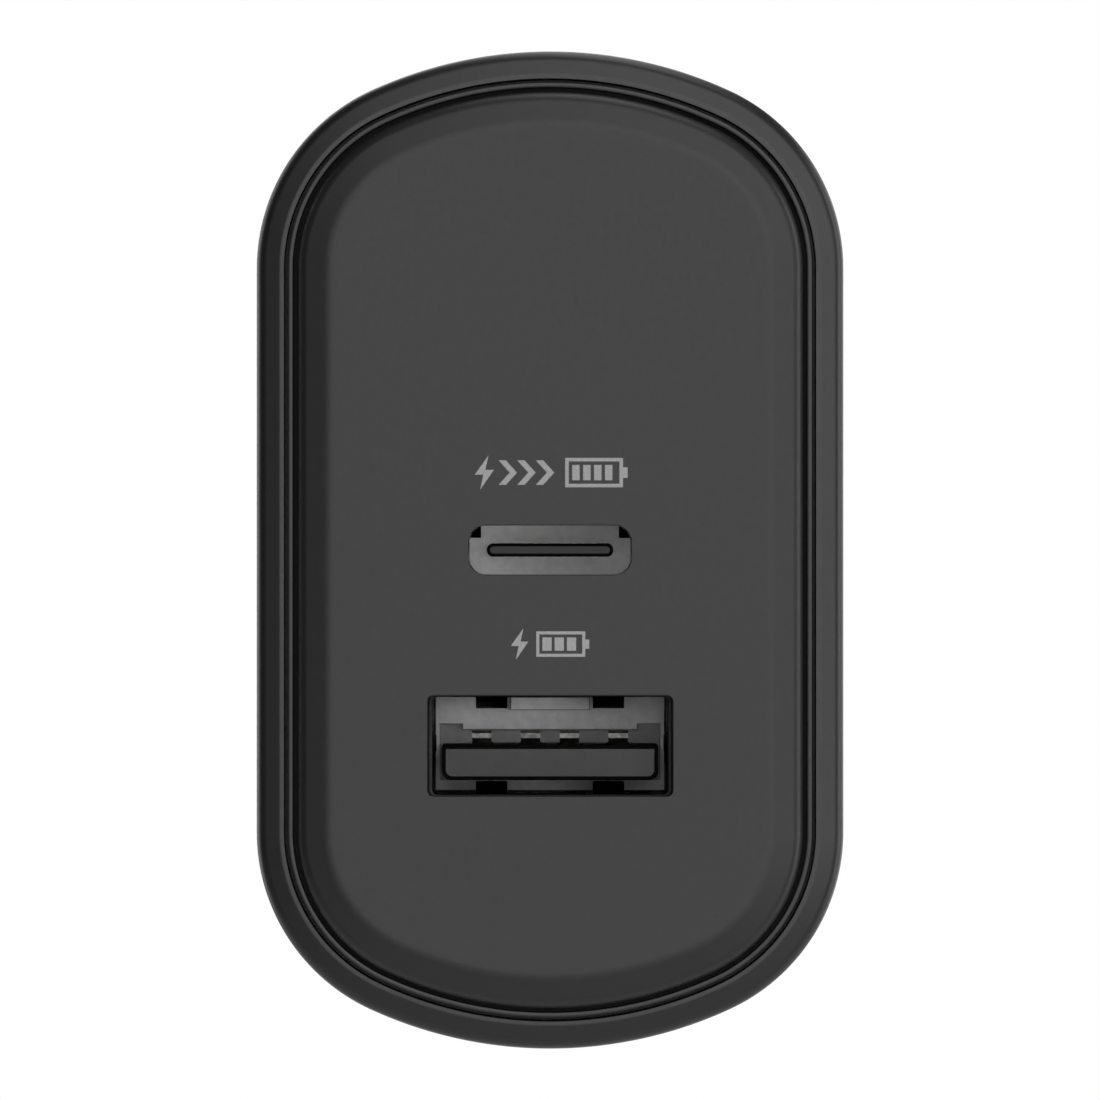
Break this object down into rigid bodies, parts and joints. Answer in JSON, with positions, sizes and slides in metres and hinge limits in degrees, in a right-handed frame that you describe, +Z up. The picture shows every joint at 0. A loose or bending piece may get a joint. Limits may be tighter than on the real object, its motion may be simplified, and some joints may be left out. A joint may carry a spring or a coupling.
{
  "type": "usb wall charger",
  "caption": "Compact mains charger: rounded oblong case, pillow-edged port panel with a USB-C and a USB-A socket, and a folding two-blade plug at the back.",
  "frame": {"origin": "the wall-facing face of the rear cover, midway between the two blades", "axes": "+Z up, +X to the right when looking at the ports, +Y into the wall along the deployed blades"},
  "size_m": [0.03, 0.062, 0.051],
  "materials": {
    "case_plastic": "satin black polycarbonate",
    "panel_plastic": "fine matte black polycarbonate",
    "ring_plastic": "smooth black polycarbonate",
    "carrier_plastic": "glass-filled black nylon",
    "nickel_plate": "nickel-plated brass",
    "phosphor_bronze": "rolled phosphor bronze",
    "screw_steel": "zinc-plated steel",
    "socket_shell": "drawn stainless sheet",
    "socket_plastic": "moulded black polymer",
    "contact_gold": "gold-plated copper alloy",
    "circuit_board": "green solder mask over glass laminate",
    "chip_package": "black epoxy",
    "capacitor_sleeve": "dark shrink sleeve",
    "aluminium": "rolled sheet",
    "ferrite": "pressed ferrite",
    "bobbin_plastic": "black phenolic",
    "transformer_tape": "yellow polyester tape",
    "copper_wire": "enamelled copper",
    "yellow_box": "yellow film capacitor case",
    "blue_epoxy": "blue dipped coating",
    "thermistor_coat": "dark green dipped coating",
    "insulation_film": "translucent polyester film",
    "line_wire": "red wire insulation",
    "neutral_wire": "black wire insulation"
  },
  "bodies": {
    "case": {"housing": "case_plastic", "rear_cover": "case_plastic", "front_panel": "panel_plastic", "trim_ring": "ring_plastic", "prong_retainer": "carrier_plastic", "detent_spring": "phosphor_bronze", "contact_spring_line": "phosphor_bronze", "contact_spring_neutral": "phosphor_bronze", "retainer_screw_1": "screw_steel", "retainer_screw_2": "screw_steel", "retainer_screw_3": "screw_steel", "input_wire_line": "line_wire", "input_wire_neutral": "neutral_wire", "main_board": "circuit_board", "bulk_capacitor_1": "capacitor_sleeve", "bulk_capacitor_2": "capacitor_sleeve", "transformer_core_upper": "ferrite", "transformer_core_lower": "ferrite", "transformer_bobbin": "bobbin_plastic", "transformer_winding": "transformer_tape", "transformer_tape": "transformer_tape", "choke_core": "ferrite", "choke_winding_1": "copper_wire", "choke_winding_2": "copper_wire", "x_capacitor": "yellow_box", "fuse": "chip_package", "thermistor": "thermistor_coat", "y_capacitor": "blue_epoxy", "bridge_rectifier": "chip_package", "primary_controller": "chip_package", "sync_rectifier": "chip_package", "optocoupler": "chip_package", "insulation_sheet": "insulation_film", "heat_spreader": "aluminium", "port_board": "circuit_board", "pd_controller": "chip_package", "output_capacitor_1": "capacitor_sleeve", "output_capacitor_2": "capacitor_sleeve", "usb_a_shell": "socket_shell", "usb_a_insulator": "socket_plastic", "usb_a_contact_1": "contact_gold", "usb_a_contact_2": "contact_gold", "usb_a_contact_3": "contact_gold", "usb_a_contact_4": "contact_gold", "usb_c_shell": "socket_shell", "usb_c_insulator": "socket_plastic"},
    "prongs": {"prong_carrier": "carrier_plastic", "prong_line": "nickel_plate", "prong_neutral": "nickel_plate"}
  },
  "joints": [
    {"name": "prong_fold", "type": "hinge", "parent": "case", "child": "prongs", "pos_m": [0, -0.0036, 0], "axis": [-1, 0, 0], "range_deg": [0, 90]}
  ]
}
